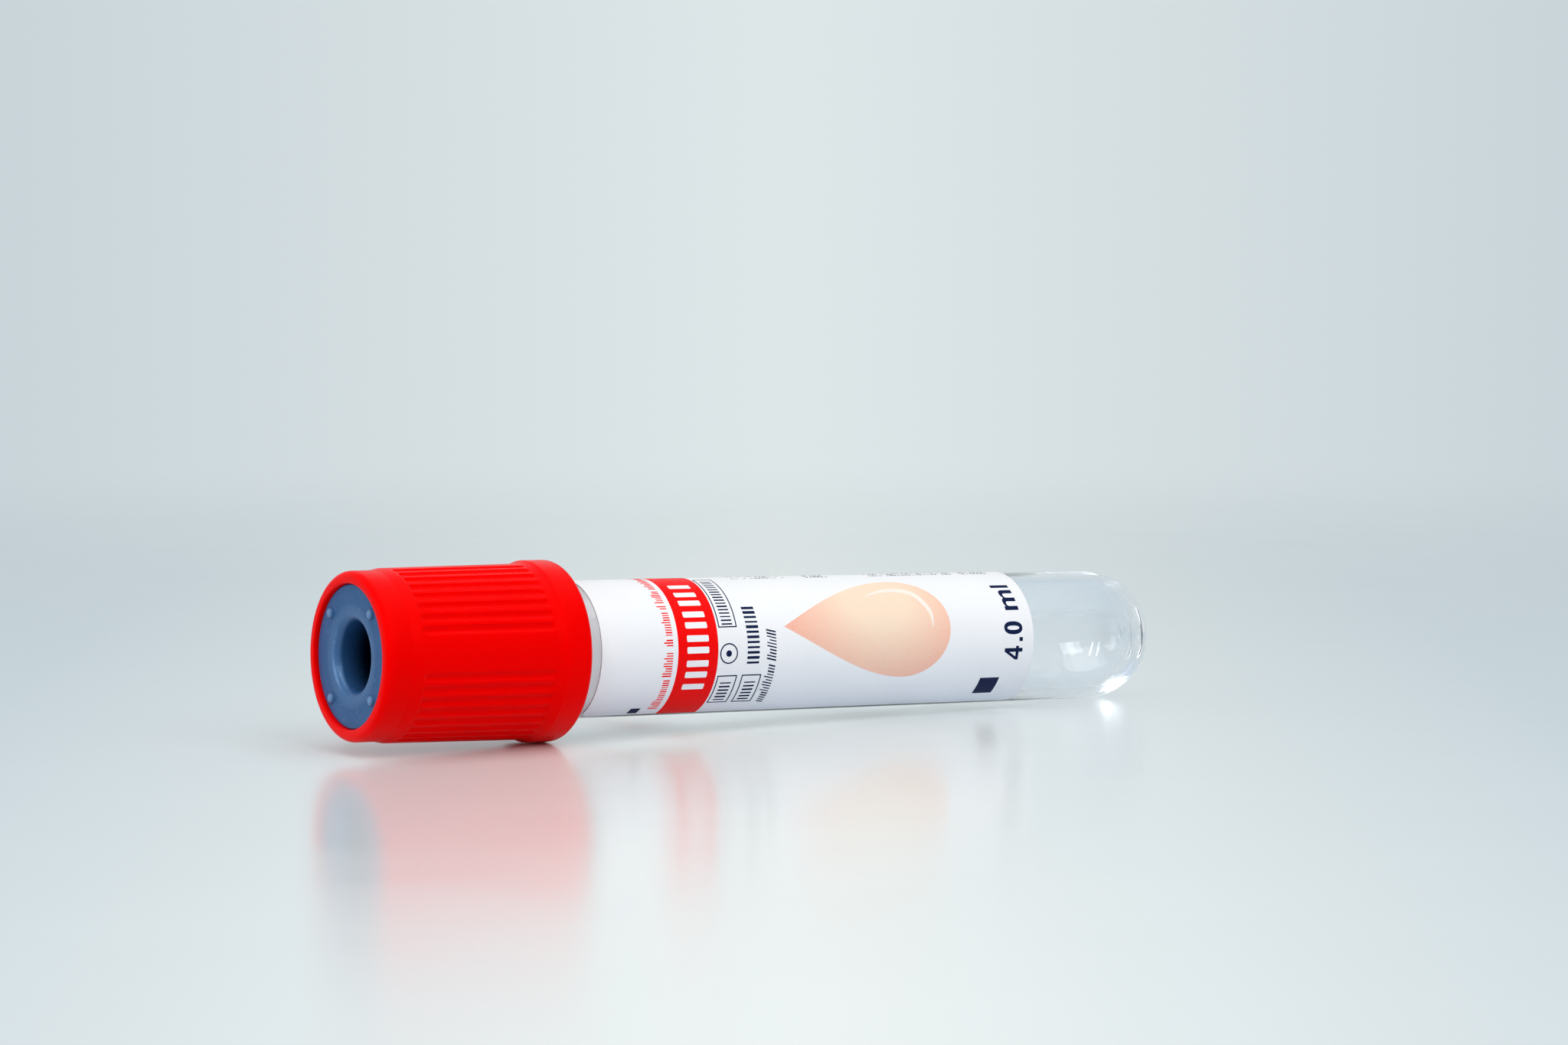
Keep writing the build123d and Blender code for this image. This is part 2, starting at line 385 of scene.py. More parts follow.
def makeShield(values):
    quarter = 360 / values["groups"]
    half = values["flutePitch"] * values["flutesInGroup"] / 2
    panel = quarter - 2 * half
    turns = []
    for group in range(values["groups"]):
        middle = values["panelTurn"] + quarter * (group + 0.5)
        for flute in range(values["flutesInGroup"]):
            centre = middle - half + values["flutePitch"] * (flute + 0.5)
            for step in (*values["grooveSteps"], values["flutePitch"] / 2):
                turns += [centre + step, centre - step]
        turns += [middle + half + panel * k / values["panelSteps"] for k in range(1, values["panelSteps"])]
    start = values["fluteMiddle"] - values["fluteLength"] / 2
    stations = [start + step for step in values["endSteps"]] + list(values["middleStations"])
    stations += [2 * values["fluteMiddle"] - start - step for step in reversed(values["endSteps"])]
    outline = roundCorners(values["outline"])
    outline = addStations(outline, values["bandFront"], values["bandRear"], stations)
    material = redPlastic()
    piece = finishMesh("redShield", lathe(outline, inOneTurn(turns)), material)
    sizes = {"groupTurn": quarter, "groupHalf": half, "fluteHalf": values["fluteLength"] / 2}
    growWith(piece, fluteTree(material), {**values, **sizes})
    layOnTube(piece, "cap", "red_plastic", "cap_shield")


makeShield(shield)


stopper = {
    "outline": [
        (5.2, 0.0), (5.2, 3.1, 0.8), (0.4, 3.1, 0.85), (0.4, 4.7), (0.4, 6.35, 0.15), (1.0, 6.35),
        (1.0, 6.75), (6.9, 6.75), (6.9, 5.1), (14.6, 5.1), (15.4, 4.75), (15.4, 3.2), (9.5, 3.2, 1.2),
        (9.5, 0.0)],
    "faceStation": 0.4,
    "faceStart": 4.7,     # radius from which the face has fine rings, to carry the pips
    "faceWidth": 1.2,
    "faceRings": 24,
    "well": (1.3, 3.6, 5.2, 3.1),  # where painted shade starts and is darkest, the well's floor and its radius
    "wellWall": ((4.4, 3.1), (1.25, 3.1)),
    "wellStations": [4.0, 3.6, 3.2, 2.8, 2.4, 2.0, 1.6],
    "mouthEdge": 4.0,     # radius within which the well's mouth shines
    "mouthLength": 1.0,
    "pips": 4,
    "pipTurn": 48.8,
    "pipRing": 5.3,
    "pipRadius": 0.5,
    "pipHeight": 0.35,
    "pipReach": 7.0,      # degrees of fine turns to either side of a pip
    "pipSteps": 14,
    "restSteps": 32,      # turns from one pip's reach to the next
}

paintedRubberLight = {  # how strongly each painted shade or highlight on the mesh tints the rubber, and the tint
    # painted shade in the well, darker deeper in
    "wellPaintedShade": (1.0, (0.0003, 0.002, 0.007, 1)),
    # painted highlight on each pip's top
    "pipPaintedHighlight": (0.8, (0.17, 0.29, 0.48, 1)),
    # painted shade round each pip's foot
    "pipPaintedShade": (0.55, (0.012, 0.045, 0.115, 1)),
}


def pipTree(material):
    paintedShadePlace, paintedShadeWidth = 1.05, 0.22  # the painted shade round a pip's foot, in pip radii
    sizes = ["pipStep", "pipTurn", "pipRing", "pipRadius", "pipHeight", "faceStation"]
    tree, size = newTree("facePips", sizes)
    station, _, _, radius, angle = turnFields(tree)
    half = calc(tree, "MULTIPLY", size["pipStep"], 0.5)
    turned = calc(tree, "SUBTRACT", angle, size["pipTurn"])
    nearest = calc(tree, "WRAP", turned, half, calc(tree, "MULTIPLY", half, -1.0))
    across = calc(tree, "MULTIPLY", calc(tree, "RADIANS", nearest), radius)
    outward = calc(tree, "SUBTRACT", radius, size["pipRing"])
    away = calc(tree, "SQRT", calc(tree, "ADD", calc(tree, "MULTIPLY", across, across),
                                   calc(tree, "MULTIPLY", outward, outward)))
    radii = calc(tree, "DIVIDE", away, size["pipRadius"])
    share = calc(tree, "MINIMUM", radii, 1.0)
    dome = calc(tree, "SQRT", calc(tree, "SUBTRACT", 1.0, calc(tree, "MULTIPLY", share, share)))
    onFace = calc(tree, "LESS_THAN", station, calc(tree, "ADD", size["faceStation"], 0.01))
    domed = calc(tree, "MULTIPLY", dome, onFace)
    height = calc(tree, "MULTIPLY", domed, size["pipHeight"])
    offset = addNode(tree, "ShaderNodeCombineXYZ", X=calc(tree, "MULTIPLY", height, -1.0))
    # painted highlight, lightest on the top of each pip
    topped = noteField(tree, size["Geometry"], "pipPaintedHighlight", domed)
    # painted shade in a ring round each pip's foot
    offRim = calc(tree, "ABSOLUTE", calc(tree, "SUBTRACT", radii, paintedShadePlace))
    rim = calc(tree, "MAXIMUM", calc(tree, "SUBTRACT", 1.0, calc(tree, "DIVIDE", offRim, paintedShadeWidth)), 0.0)
    rimmed = noteField(tree, topped, "pipPaintedShade", calc(tree, "MULTIPLY", rim, onFace))
    moved = addNode(tree, "GeometryNodeSetPosition", Geometry=rimmed, Offset=offset.outputs[0])
    endTree(tree, moved.outputs[0], material)
    return tree


def blueRubber():
    material, tree, surface = newMaterial(
        "blueRubber", Roughness=0.36, Specular_IOR_Level=0.31, Specular_Tint=(0.45, 0.7, 1.0, 1))
    place = objectPlace(tree)
    cloud = grain(tree, place, 260.0, 3.0)
    fine = grain(tree, place, 4200.0, 4.0, 0.6)
    dust = grain(tree, place, 2600.0, 1.0)
    colour = blendColours(tree, spread(tree, cloud, 0.0, 1.0),
                          (0.018, 0.081, 0.218, 1), (0.026, 0.095, 0.242, 1))
    colour = blendColours(tree, spread(tree, dust, 0.0, 0.25, 0.66, 0.74), colour, (0.20, 0.27, 0.38, 1))
    for mark, (share, tint) in paintedRubberLight.items():
        colour = blendColours(tree, calc(tree, "MULTIPLY", readField(tree, mark), share), colour, tint)
    tree.links.new(colour, surface.inputs["Base Color"])
    # the well's painted shade also takes most of the rubber's shine away
    dulled = spread(tree, readField(tree, "wellPaintedShade"), 0.31, 0.04, 0.0, 1.0)
    shine = calc(tree, "ADD", dulled, calc(tree, "MULTIPLY", readField(tree, "mouthShine"), 0.9))
    tree.links.new(shine, surface.inputs["Specular IOR Level"])
    tree.links.new(spread(tree, fine, 0.28, 0.40), surface.inputs["Roughness"])
    addBump(tree, surface, fine, 0.25, 0.00003)
    return material


def makeStopper(values):
    step = 360 / values["pips"]
    reach = values["pipReach"]
    rest = step - 2 * reach
    fine, coarse = values["pipSteps"], values["restSteps"]
    turns = []
    for pip in range(values["pips"]):
        centre = values["pipTurn"] + step * pip
        turns += [centre + reach * k / fine for k in range(-fine, fine + 1)]
        turns += [centre + reach + rest * k / coarse for k in range(1, coarse)]
    outline = roundCorners(values["outline"], steps=8)
    outline = addStations(outline, *values["wellWall"], values["wellStations"])
    flat = next(i for i, p in enumerate(outline) if abs(p[1] - values["faceStart"]) < 1e-4)
    count = values["faceRings"]
    rings = [(values["faceStation"], values["faceStart"] + values["faceWidth"] * k / count)
             for k in range(1, count + 1)]
    outline = outline[:flat + 1] + rings + outline[flat + 1:]
    material = blueRubber()
    shape = lathe(outline, inOneTurn(turns))
    shade = shape.verts.layers.float.new("wellPaintedShade")
    shine = shape.verts.layers.float.new("mouthShine")
    mouth, dark, floor, radius = values["well"]
    # painted shade: from none at the well's mouth to darkest towards its floor
    for vert in shape.verts:
        out = Vector(vert.co.yz).length
        if out < radius + 0.01 and vert.co.x < floor + 0.01:
            share = min(1.0, max(0.0, (vert.co.x - mouth) / (dark - mouth)))
            vert[shade] = share * share * (3 - 2 * share)
        if out < values["mouthEdge"] and vert.co.x < mouth + values["mouthLength"]:
            vert[shine] = 1 - max(0.0, vert.co.x - mouth) / values["mouthLength"]
    piece = finishMesh("blueStopper", shape, material)
    growWith(piece, pipTree(material), {**values, "pipStep": step})
    layOnTube(piece, "stopper", "blue_rubber", "stopper")


makeStopper(stopper)


tube = {
    "film": (14.0, 16.5, 22.5, 27.0),  # stations between which the film grows, and where it fades
    "filmShare": 0.4,
    "rim": 6.9,
    "radius": 6.15,
    "bore": 5.15,
    "domeCentre": 80.15,
    "coreCentre": 79.65,
    "landStation": 86.03,   # the small flat at the round end
    "coreStation": 84.67,
    "gateRadius": 0.5,
    "gateEnd": 86.28,
    "segments": 288,
    "domeSteps": 40,
    "coreSteps": 36,
}


# the wall is clear but for a thin pale film by the stopper's end
def clearPlastic(values):
    material, tree, surface = newMaterial("clearPlastic", Roughness=0.0, IOR=1.57, Transmission_Weight=1.0)
    surface.inputs["Base Color"].default_value = (0.97, 0.985, 1.0, 1)
    place = objectPlace(tree)
    longPlace = objectPlace(tree, (40, 500, 500))
    waves = grain(tree, longPlace, 1.0, 2.0)
    haze = grain(tree, place, 1500.0, 3.0)
    tree.links.new(spread(tree, haze, 0.005, 0.03), surface.inputs["Roughness"])
    addBump(tree, surface, waves, 0.22, 0.00008)
    x = addNode(tree, "ShaderNodeSeparateXYZ", Vector=place).outputs["X"]
    ends = [(layDown @ Vector((station, 0, 0))).x for station in values["film"]]
    film = calc(tree, "MULTIPLY", spread(tree, x, 0.0, 1.0, ends[0], ends[1]),
                spread(tree, x, 1.0, 0.0, ends[2], ends[3]))
    clearness = spread(tree, film, 1.0, 1.0 - values["filmShare"], 0.0, 1.0)
    tree.links.new(clearness, surface.inputs["Transmission Weight"])
    letLightThrough(tree, surface, (0.96, 0.967, 0.975, 1), "Is Diffuse Ray", "Is Shadow Ray")
    return material


def makeTube(values):
    land = values["landStation"] - values["domeCentre"]
    landTurn = degrees(acos(land / values["radius"]))
    core = values["coreStation"] - values["coreCentre"]
    coreTurn = degrees(acos(core / values["bore"]))
    outline = [(values["gateEnd"], 0.0), (values["gateEnd"], values["gateRadius"], 0.1),
               (values["landStation"], values["gateRadius"])]
    outline += arcPoints(values["domeCentre"], values["radius"], landTurn, 90, values["domeSteps"])
    outline += [(values["rim"], values["radius"], 0.3), (values["rim"], values["bore"])]
    outline += arcPoints(values["coreCentre"], values["bore"], 90, coreTurn, values["coreSteps"])
    outline += [(values["coreStation"], 0.0)]
    shape = lathe(roundCorners(outline), turnAngles(values["segments"]))
    piece = finishMesh("clearTube", shape, clearPlastic(values))
    layOnTube(piece, "tube", "clear_plastic", "tube")


makeTube(tube)


label = {
    "start": 22.1,
    "end": 69.55,
    "inner": 6.17,
    "outer": 6.27,
    "firstEdge": -66.33,
    "lastEdge": 244.33,
    "cornerRound": 1.0,
    "cornerSteps": 8,
    "rows": 200,      # round the tube
    "columns": 20,    # along it
}
degreesPerMm = 180 / pi / label["outer"]  # round the label

ink = {
    "lift": 0.004,
    "thick": 0.008,
    "band": (30.05, 34.28),
    "bandMargin": 0.25,  # degrees, short of the label's edges
    "wordBars": {"stations": (31.0, 33.3), "turns": (-34.0, 70.0), "count": 5, "gap": 4.2, "bar": 5.4},
    "frames": [  # first and last station, first and last turn
        (34.48, 36.45, 21.0, 80.0), (34.5, 36.6, -49.0, -19.6), (37.1, 39.2, -49.0, -19.5)],
    "frameLine": 0.11,
    "ring": {"station": 35.44, "turn": -0.8, "radius": 0.95, "line": 0.12, "dot": 0.3},
    "volume": {"stem": 0.205, "stations": (66.22, 68.28), "turns": [
        (-14.0, -1.9), (2.2, 5.6), (8.2, 19.5), (29.8, 51.0), (54.2, 57.6)]},
    "mark": [(26.8, -54.0), (27.8, -54.0), (27.8, -63.0), (26.8, -63.0)],
    "block": [(64.1, -31.0), (66.3, -31.0), (66.3, -50.0), (64.1, -50.0)],
}

inkColours = {  # the ink, and its paler or darker specks
    "redInk": ((0.95, 0.0, 0.0, 1), (0.97, 0.01, 0.008, 1)),
    "navyInk": ((0.003, 0.010, 0.052, 1), (0.012, 0.026, 0.085, 1)),
    "whiteInk": ((0.93, 0.935, 0.95, 1), (0.91, 0.86, 0.88, 1)),
    "glintInk": ((0.97, 0.88, 0.80, 1), (0.96, 0.82, 0.72, 1)),
}

drop = {
    "centre": (54.95, 19.9),
    "radius": 5.1,
    "tip": (41.55, 20.5),
    "tipPull": (4.2, 2.2),   # how the sides swell from the tip to the round part
    "sidePull": (9.5, 5.1),
    "glint": [(-3.6, 3.0), (-1.45, 3.6), (0.3, 3.65), (1.8, 3.2), (2.7, 2.05), (3.15, 0.9), (3.1, -0.45)],
    "glintHalf": 0.27,
    "glintEnd": 0.004,       # half width at its ends
    "glow": (-2.5, 3.2),     # the palest spot, from the centre
    "glowReach": (3.5, 10.5),
}


def along(turn):
    return radians(turn) * label["outer"]


# a flat sheet from closed outlines of (station, turn), with one outline inside another as a hole
def sheetFrom(polygons):
    shape = bmesh.new()
    for outline in polygons:
        points = [shape.verts.new((s, along(t), 0)) for s, t in outline]
        for i, point in enumerate(points):
            shape.edges.new((point, points[(i + 1) % len(points)]))
    bmesh.ops.triangle_fill(shape, use_beauty=True, edges=shape.edges)
    return shape


def cutAlong(shape, step=2.5):
    low = min(v.co.y for v in shape.verts)
    high = max(v.co.y for v in shape.verts)
    width = along(step)
    for k in range(int(low / width) - 1, int(high / width) + 2):
        if low < k * width < high:
            geometry = shape.verts[:] + shape.edges[:] + shape.faces[:]
            bmesh.ops.bisect_plane(shape, geom=geometry, dist=1e-5,
                                   plane_co=(0, k * width, 0), plane_no=(0, 1, 0))


# gives a flat sheet its thickness and wraps it round the tube
def wrapSheet(shape, radius, thick):
    grown = bmesh.ops.extrude_face_region(shape, geom=shape.faces[:])
    for item in grown["geom"]:
        if isinstance(item, bmesh.types.BMVert):
            item.co.z = thick
    noteFlatPlace(shape)
    for vert in shape.verts:
        turn = vert.co.y / label["outer"]
        reach = radius + vert.co.z
        vert.co = (vert.co.x, -reach * cos(turn), reach * sin(turn))


def noteFlatPlace(shape):
    flat = shape.verts.layers.float_vector.new("labelPlace")
    for vert in shape.verts:
        vert[flat] = (vert.co.x, vert.co.y, 0)


def inkPiece(name, sheets, material, layer=0):
    lift = label["outer"] + ink["lift"] + layer * (ink["lift"] + ink["thick"])
    joined = bmesh.new()
    for sheet in sheets:
        cutAlong(sheet)
        wrapSheet(sheet, lift, ink["thick"])
        bmesh.ops.recalc_face_normals(sheet, faces=sheet.faces)
        mesh = bpy.data.meshes.new("part")
        sheet.to_mesh(mesh)
        sheet.free()
        joined.from_mesh(mesh)
        bpy.data.meshes.remove(mesh)
    piece = finishMesh(name, joined, material)
    layOnTube(piece, "tube", "label_paper")


def box(first, last, low, high):
    return [(first, low), (last, low), (last, high), (first, high)]


def roundedBox(first, last, low, high, size=0.12):
    steps = 4
    inset = size * degreesPerMm
    corners = [(first + size, low + inset, 180), (last - size, low + inset, 270),
               (last - size, high - inset, 0), (first + size, high - inset, 90)]
    rounded = []
    for station, turn, start in corners:
        for k in range(steps + 1):
            a = radians(start + 90 / steps * k)
            rounded.append((station + size * cos(a), turn + degreesPerMm * size * sin(a)))
    return rounded


def frameSheet(first, last, low, high, line):
    inset = line * degreesPerMm
    return sheetFrom([box(first, last, low, high),
                      box(first + line, last - line, low + inset, high - inset)])


def circle(station, turn, radius, count=48):
    around = [2 * pi * k / count for k in range(count)]
    return [(station + radius * cos(a), turn + degreesPerMm * radius * sin(a)) for a in around]


def paperNodes(tree, surface, bumpStrength):
    place = objectPlace(tree)
    fibres = grain(tree, place, 2600.0, 6.0, 0.65)
    addBump(tree, surface, fibres, bumpStrength, 0.00003)
    return place, fibres


def labelPaper():
    material, tree, surface = newMaterial("labelPaper", Roughness=0.45, Specular_IOR_Level=0.25)
    place, fibres = paperNodes(tree, surface, 0.18)
    cloud = grain(tree, place, 120.0, 2.0)
    colour = blendColours(tree, spread(tree, cloud, 0.0, 1.0),
                          (0.925, 0.925, 0.935, 1), (0.90, 0.903, 0.915, 1))
    colour = blendColours(tree, spread(tree, fibres, 0.0, 0.25), colour, (0.87, 0.875, 0.89, 1))
    tree.links.new(colour, surface.inputs["Base Color"])
    tree.links.new(spread(tree, fibres, 0.40, 0.52), surface.inputs["Roughness"])
    letLightThrough(tree, surface, (0.965, 0.97, 0.975, 1), "Is Shadow Ray")  # thin paper
    return material


def printInk(name):
    colour, specks = inkColours[name]
    material, tree, surface = newMaterial(name, Roughness=0.42, Specular_IOR_Level=0.08)
    place, fibres = paperNodes(tree, surface, 0.12)
    speckle = grain(tree, place, 5200.0, 2.0)
    shade = blendColours(tree, spread(tree, speckle, 0.0, 0.22), colour, specks)
    tree.links.new(shade, surface.inputs["Base Color"])
    tree.links.new(spread(tree, fibres, 0.34, 0.46), surface.inputs["Roughness"])
    return material


def dropInk(values):
    material, tree, surface = newMaterial("peachInk", Roughness=0.42, Specular_IOR_Level=0.15)
    place = paperNodes(tree, surface, 0.12)[0]
    station, turn = values["centre"]
    glowStation, glowAcross = values["glow"]
    away = addNode(tree, "ShaderNodeVectorMath", {"operation": "DISTANCE"})
    tree.links.new(readField(tree, "labelPlace", "Vector"), away.inputs[0])
    away.inputs[1].default_value = (station + glowStation, along(turn) + glowAcross, 0)
    share = spread(tree, away.outputs["Value"], 0.0, 1.0, *values["glowReach"])
    ramp = addNode(tree, "ShaderNodeValToRGB", Fac=share)
    ramp.color_ramp.elements[0].color = (0.96, 0.74, 0.56, 1)
    ramp.color_ramp.elements[1].color = (0.95, 0.47, 0.35, 1)
    speckle = grain(tree, place, 3600.0, 2.0)
    colour = blendColours(tree, spread(tree, speckle, 0.0, 0.12),
                          ramp.outputs["Color"], (0.97, 0.84, 0.72, 1))
    tree.links.new(colour, surface.inputs["Base Color"])
    return material


def makeLabel(values):
    shape = bmesh.new()
    low = along(values["firstEdge"])
    high = along(values["lastEdge"])
    corner = values["cornerRound"]
    steps, count, across = values["cornerSteps"], values["rows"], values["columns"]
    nearEdge = [corner * (1 - cos(radians(90 * k / steps))) for k in range(steps)]
    middle = [low + corner + (high - low - 2 * corner) * k / count for k in range(count + 1)]
    rows = [low + e for e in nearEdge] + middle + [high - e for e in reversed(nearEdge)]
    drawn = []
    for t in rows:
        inset = max(0.0, corner - min(t - low, high - t))
        trim = corner - (corner ** 2 - inset ** 2) ** 0.5
        first = values["start"] + trim
        last = values["end"] - trim
        drawn.append([shape.verts.new((first + (last - first) * k / across, t, 0))
                      for k in range(across + 1)])
    for near, far in zip(drawn, drawn[1:]):
        for k in range(across):
            shape.faces.new((near[k], near[k + 1], far[k + 1], far[k]))
    wrapSheet(shape, values["inner"], values["outer"] - values["inner"])
    piece = finishMesh("paperLabel", shape, labelPaper())
    layOnTube(piece, "tube", "label_paper", "label")


makeLabel(label)


strokeSizes = ["station", "turn", "length", "heading", "letterHeight", "stroke", "pitch", "wordGaps",
               "slant", "lowShare", "seed"]


def strokeTree(material):
    lowHeight = 0.72  # a low letter's share of the full height
    thinnest, thickest = 0.8, 1.35  # a stroke's width, against the usual
    tree, size = newTree("printStrokes", [*strokeSizes, "radius", "thick"])
    count = addNode(tree, "FunctionNodeFloatToInt", Float=calc(tree, "DIVIDE", size["length"], size["pitch"]))
    step = addNode(tree, "ShaderNodeCombineXYZ", Y=size["pitch"])
    line = addNode(tree, "GeometryNodeMeshLine", {"mode": "OFFSET"}, Count=count.outputs[0])
    tree.links.new(step.outputs[0], line.inputs["Offset"])

    def anyOf(low, high, shift):
        pick = addNode(tree, "FunctionNodeRandomValue", {"data_type": "FLOAT"})
        pick.inputs[2].default_value = low
        pick.inputs[3].default_value = high
        seed = addNode(tree, "FunctionNodeFloatToInt", Float=calc(tree, "ADD", size["seed"], float(shift)))
        tree.links.new(seed.outputs[0], pick.inputs["Seed"])
        return pick.outputs[1]

    gap = calc(tree, "LESS_THAN", anyOf(0.0, 1.0, 0), size["wordGaps"])
    kept = addNode(tree, "GeometryNodeDeleteGeometry", {"domain": "POINT"}, Geometry=line.outputs[0])
    tree.links.new(gap, kept.inputs["Selection"])
    tall = calc(tree, "GREATER_THAN", anyOf(0.0, 1.0, 11), size["lowShare"])
    height = calc(tree, "MULTIPLY", size["letterHeight"],
                  calc(tree, "ADD", lowHeight, calc(tree, "MULTIPLY", tall, 1 - lowHeight)))
    width = calc(tree, "MULTIPLY", size["stroke"], anyOf(thinnest, thickest, 23))
    bar = addNode(tree, "GeometryNodeMeshCube", Size=(1, 1, 1))
    scale = addNode(tree, "ShaderNodeCombineXYZ", X=height, Y=width, Z=size["thick"])
    foot = calc(tree, "MULTIPLY", calc(tree, "SUBTRACT", size["letterHeight"], height), 0.5)
    footed = addNode(tree, "ShaderNodeCombineXYZ", X=foot)
    lined = addNode(tree, "GeometryNodeSetPosition", Geometry=kept.outputs[0], Offset=footed.outputs[0])
    placed = addNode(tree, "GeometryNodeInstanceOnPoints", Points=lined.outputs[0], Instance=bar.outputs[0],
                     Scale=scale.outputs[0])
    real = addNode(tree, "GeometryNodeRealizeInstances", Geometry=placed.outputs[0])
    x, y, z = turnFields(tree)[:3]
    leant = addNode(tree, "ShaderNodeCombineXYZ", X=x, Z=z,
                    Y=calc(tree, "SUBTRACT", y, calc(tree, "MULTIPLY", x, size["slant"])))
    headed = addNode(tree, "ShaderNodeVectorRotate", {"rotation_type": "Z_AXIS"}, Vector=leant.outputs[0],
                     Angle=calc(tree, "RADIANS", size["heading"]))
    u, v, up = addNode(tree, "ShaderNodeSeparateXYZ", Vector=headed.outputs[0]).outputs
    turn = calc(tree, "ADD", calc(tree, "RADIANS", size["turn"]), calc(tree, "DIVIDE", v, size["radius"]))
    reach = calc(tree, "ADD", size["radius"], up)
    towards = calc(tree, "MULTIPLY", reach, -1.0)
    wrapped = addNode(tree, "ShaderNodeCombineXYZ", X=calc(tree, "ADD", size["station"], u),
                      Y=calc(tree, "MULTIPLY", towards, calc(tree, "COSINE", turn)),
                      Z=calc(tree, "MULTIPLY", reach, calc(tree, "SINE", turn)))
    moved = addNode(tree, "GeometryNodeSetPosition", Geometry=real.outputs[0], Position=wrapped.outputs[0])
    endTree(tree, moved.outputs[0], material)
    return tree


# station of the middle, letter height, first and last turn, stroke, pitch, word gaps, slant, seed
redRows = [(29.05, 0.95, -55.0, 95.0, 0.10, 0.235, 0.12, 0.0, 3)]
navyRows = [
    (35.45, 1.1, 24.0, 77.0, 0.13, 0.36, 0.0, 0.0, 5),
    (35.55, 1.15, -45.0, -23.0, 0.15, 0.40, 0.0, 0.0, 7),
    (38.15, 1.15, -45.0, -23.0, 0.15, 0.40, 0.0, 0.0, 9),
    (38.08, 1.3, -9.0, 43.0, 0.21, 0.47, 0.0, 0.0, 13),
    (40.05, 1.0, -49.0, 24.0, 0.12, 0.29, 0.10, 0.22, 17),
]
# first station, last station, turn of the middle, letter height, stroke, pitch, word gaps, seed
dotRows = [
    (39.0, 45.0, 86.5, 1.15, 0.24, 0.42, 0.15, 21),
    (47.2, 49.7, 86.5, 1.15, 0.24, 0.42, 0.10, 22),
    (54.2, 63.7, 87.0, 1.15, 0.24, 0.42, 0.15, 23),
    (65.0, 68.0, 87.0, 1.15, 0.24, 0.42, 0.10, 24),
]


def aroundTube(row):
    station, height, first, last, stroke, pitch, gaps, slant, seed = row
    lowShare = 0.7 if gaps else 0.0
    length = along(last - first)
    sizes = (station, first, length, 0.0, height, stroke, pitch, gaps, slant, lowShare, float(seed))
    return dict(zip(strokeSizes, sizes))


def alongTubeRow(row):
    first, last, turn, height, stroke, pitch, gaps, seed = row
    sizes = (first, turn, last - first, -90.0, height, stroke, pitch, gaps, 0.0, 0.4, float(seed))
    return dict(zip(strokeSizes, sizes))


def strokePiece(name, rows, tree, material):
    joined = bmesh.new()
    for sizes in rows:
        row = bpy.data.objects.new("row", bpy.data.meshes.new("row"))
        bpy.context.scene.collection.objects.link(row)
        radius = label["outer"] + ink["lift"] + ink["thick"] / 2
        growWith(row, tree, {**sizes, "radius": radius, "thick": ink["thick"]})
        joined.from_mesh(row.data)
        bpy.data.objects.remove(row)
    piece = finishMesh(name, joined, material)
    layOnTube(piece, "tube", "label_paper")


# the fill volume in plain upright figures, each glyph an outline in letter heights
def volumeSheets(values):
    stem = values["stem"]
    fourOuter = [(0.38, 0.0), (0.56, 0.0), (0.56, 0.21), (0.66, 0.21), (0.66, 0.37), (0.56, 0.37),
                 (0.56, 1.0), (0.40, 1.0), (0.0, 0.37), (0.0, 0.21), (0.38, 0.21)]
    fourInner = [(0.38, 0.37), (0.155, 0.37), (0.38, 0.73)]
    point = [(0.0, 0.0), (0.19, 0.0), (0.19, 0.19), (0.0, 0.19)]
    zeroOuter = ovalOutline(0.31, 0.5, 0.31, 0.51)
    zeroInner = ovalOutline(0.31, 0.5, 0.31 - stem, 0.51 - stem * 0.85)
    el = [(0.0, 0.0), (stem, 0.0), (stem, 1.0), (0.0, 1.0)]
    glyphs = {"4": [fourOuter, fourInner], ".": [point], "0": [zeroOuter, zeroInner],
              "m": [emOutline(stem)], "l": [el]}
    first, last = values["stations"]
    sheets = []
    for glyph, (low, high) in zip("4.0ml", values["turns"]):
        outlines = glyphs[glyph]
        width = max(x for x, y in outlines[0])
        sheets.append(sheetFrom([[(last - (last - first) * y, low + (high - low) * x / width)
                                  for x, y in outline] for outline in outlines]))
    return sheets


def ovalOutline(x, y, halfWidth, halfHeight, count=40):
    squareness = 0.86  # a little fuller than an ellipse
    outline = []
    for k in range(count):
        c, s = cos(2 * pi * k / count), sin(2 * pi * k / count)
        outline.append((x + halfWidth * abs(c) ** squareness * (1 if c > 0 else -1),
                        y + halfHeight * abs(s) ** squareness * (1 if s > 0 else -1)))
    return outline


# three stems under two arches
def emOutline(stem):
    height = 0.74
    span = 0.46  # from one stem to the next
    arch = 0.20
    top = height + 0.015
    outline = [(0.0, 0.0), (0.0, height), (stem * 0.95, height), (stem * 0.95, height - 0.08)]
    for k in (0, 1):
        right = stem + span * (k + 1)
        outline.append((right - arch - 0.13, top - 0.02))
        lastTurn = 90 if k else 60
        outline += [(right - arch + arch * sin(radians(a)), top - arch + arch * cos(radians(a)))
                    for a in range(0, lastTurn + 1, 15)]
        if not k:
            outline.append((right - 0.01, top - arch + 0.08))  # the notch where the arches meet
    right = stem + 2 * span
    outline += [(right, 0.0), (right - stem, 0.0)]
    inner = top - stem * 0.85
    for k in (1, 0):
        right = stem + span * (k + 1) - stem
        left = stem + span * k
        small = 0.09
        outline += [(right - small + small * sin(radians(a)), inner - small + small * cos(radians(a)))
                    for a in range(90, -1, -15)]
        outline += [(left + 0.08, inner - 0.01), (left + 0.015, inner - 0.06), (left, inner - 0.14)]
        outline += [(left, 0.0)]
        if k:
            outline += [(left - stem, 0.0)]
    return outline


